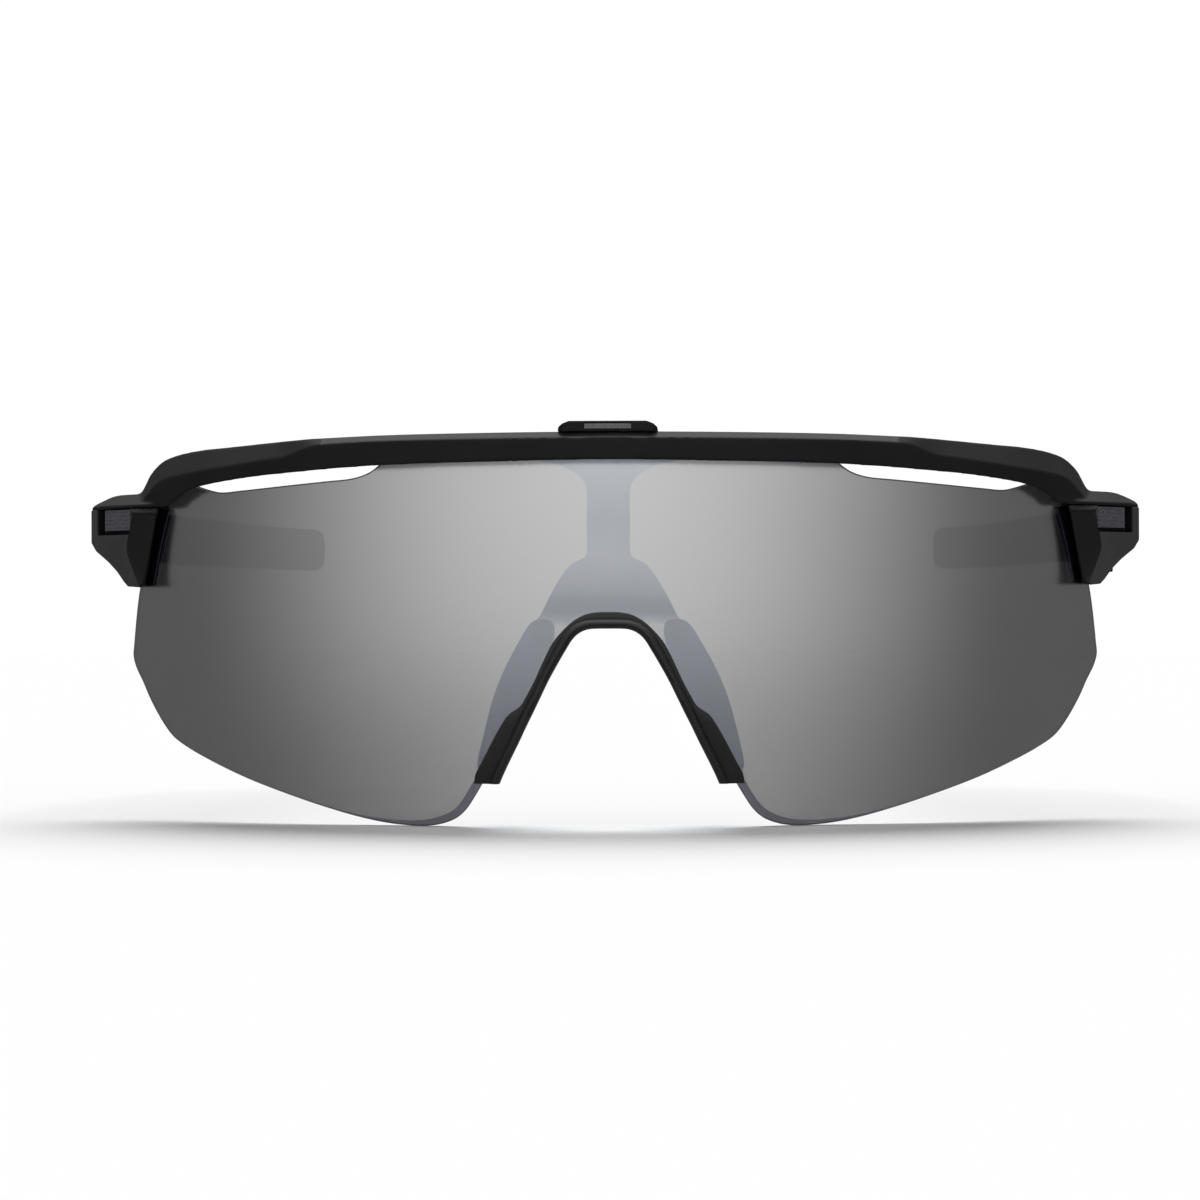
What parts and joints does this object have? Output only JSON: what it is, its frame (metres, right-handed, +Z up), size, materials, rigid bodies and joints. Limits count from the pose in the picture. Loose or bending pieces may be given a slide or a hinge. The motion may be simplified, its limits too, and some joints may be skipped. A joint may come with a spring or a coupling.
{
  "type": "wraparound sport sunglasses",
  "caption": "Wraparound sport sunglasses: black half-frame over a curved grey mirrored shield lens with a nose notch, adjustable nose pads, straight folding temples with rubber ends.",
  "frame": {"origin": "under the middle of the object's box, level with the lowest point of the lens", "axes": "+X towards the wearer's left, +Y from the lens back to the temple tips, +Z up the face"},
  "size_m": [0.1466, 0.1612, 0.0534],
  "materials": {
    "frame_black": "satin moulded nylon, fine grain",
    "mirror_lens": "polished polycarbonate with a silver-grey mirror coat",
    "spine_grey": "satin moulded nylon",
    "clip_black": "semi-gloss moulded",
    "pad_silicone": "matte silicone",
    "core_nylon": "matte moulded",
    "insert_grey": "fine hexagon texture",
    "gasket_rubber": "matte",
    "screw_steel": "turned steel",
    "insert_brass": "turned brass",
    "grip_grey": "fine ribbed texture",
    "temple_black": "satin moulded nylon, fine grain",
    "core_steel": "drawn wire",
    "sleeve_rubber": "matte rubber with grip ribs"
  },
  "bodies": {
    "frame": {"brow_bar": "frame_black", "lens": "mirror_lens", "bridge_spine": "spine_grey", "nose_clip": "clip_black", "left_side_block": "frame_black", "right_side_block": "frame_black", "left_side_insert": "insert_grey", "right_side_insert": "insert_grey", "left_lens_gasket": "gasket_rubber", "right_lens_gasket": "gasket_rubber", "left_block_screw": "screw_steel", "right_block_screw": "screw_steel", "left_hinge_screw": "screw_steel", "right_hinge_screw": "screw_steel", "left_hinge_insert": "insert_brass", "right_hinge_insert": "insert_brass", "latch_pin": "screw_steel"},
    "left_temple": {"left_temple_arm": "temple_black", "left_temple_core": "core_steel", "left_tip_sleeve": "sleeve_rubber"},
    "right_temple": {"right_temple_arm": "temple_black", "right_temple_core": "core_steel", "right_tip_sleeve": "sleeve_rubber"},
    "latch": {"latch_lever": "frame_black", "latch_grip": "grip_grey"},
    "left_pad": {"left_nose_pad": "pad_silicone", "left_pad_core": "core_nylon"},
    "right_pad": {"right_nose_pad": "pad_silicone", "right_pad_core": "core_nylon"}
  },
  "joints": [
    {"name": "left_temple_fold", "type": "hinge", "parent": "frame", "child": "left_temple", "pos_m": [0.0674, -0.0348, 0.0384], "axis": [0, 0, 1], "range_deg": [0, 90]},
    {"name": "right_temple_fold", "type": "hinge", "parent": "frame", "child": "right_temple", "pos_m": [-0.0674, -0.0348, 0.0384], "axis": [0, 0, -1], "range_deg": [0, 78]},
    {"name": "latch_flip", "type": "hinge", "parent": "frame", "child": "latch", "pos_m": [0, -0.0752, 0.05265], "axis": [-1, 0, 0], "range_deg": [0, 25]},
    {"name": "left_pad_tilt", "type": "hinge", "parent": "frame", "child": "left_pad", "pos_m": [0.0089, -0.0734, 0.0252], "axis": [0, 1, 0], "range_deg": [-6, 6]},
    {"name": "right_pad_tilt", "type": "hinge", "parent": "frame", "child": "right_pad", "pos_m": [-0.0089, -0.0734, 0.0252], "axis": [0, -1, 0], "range_deg": [-6, 6]}
  ]
}
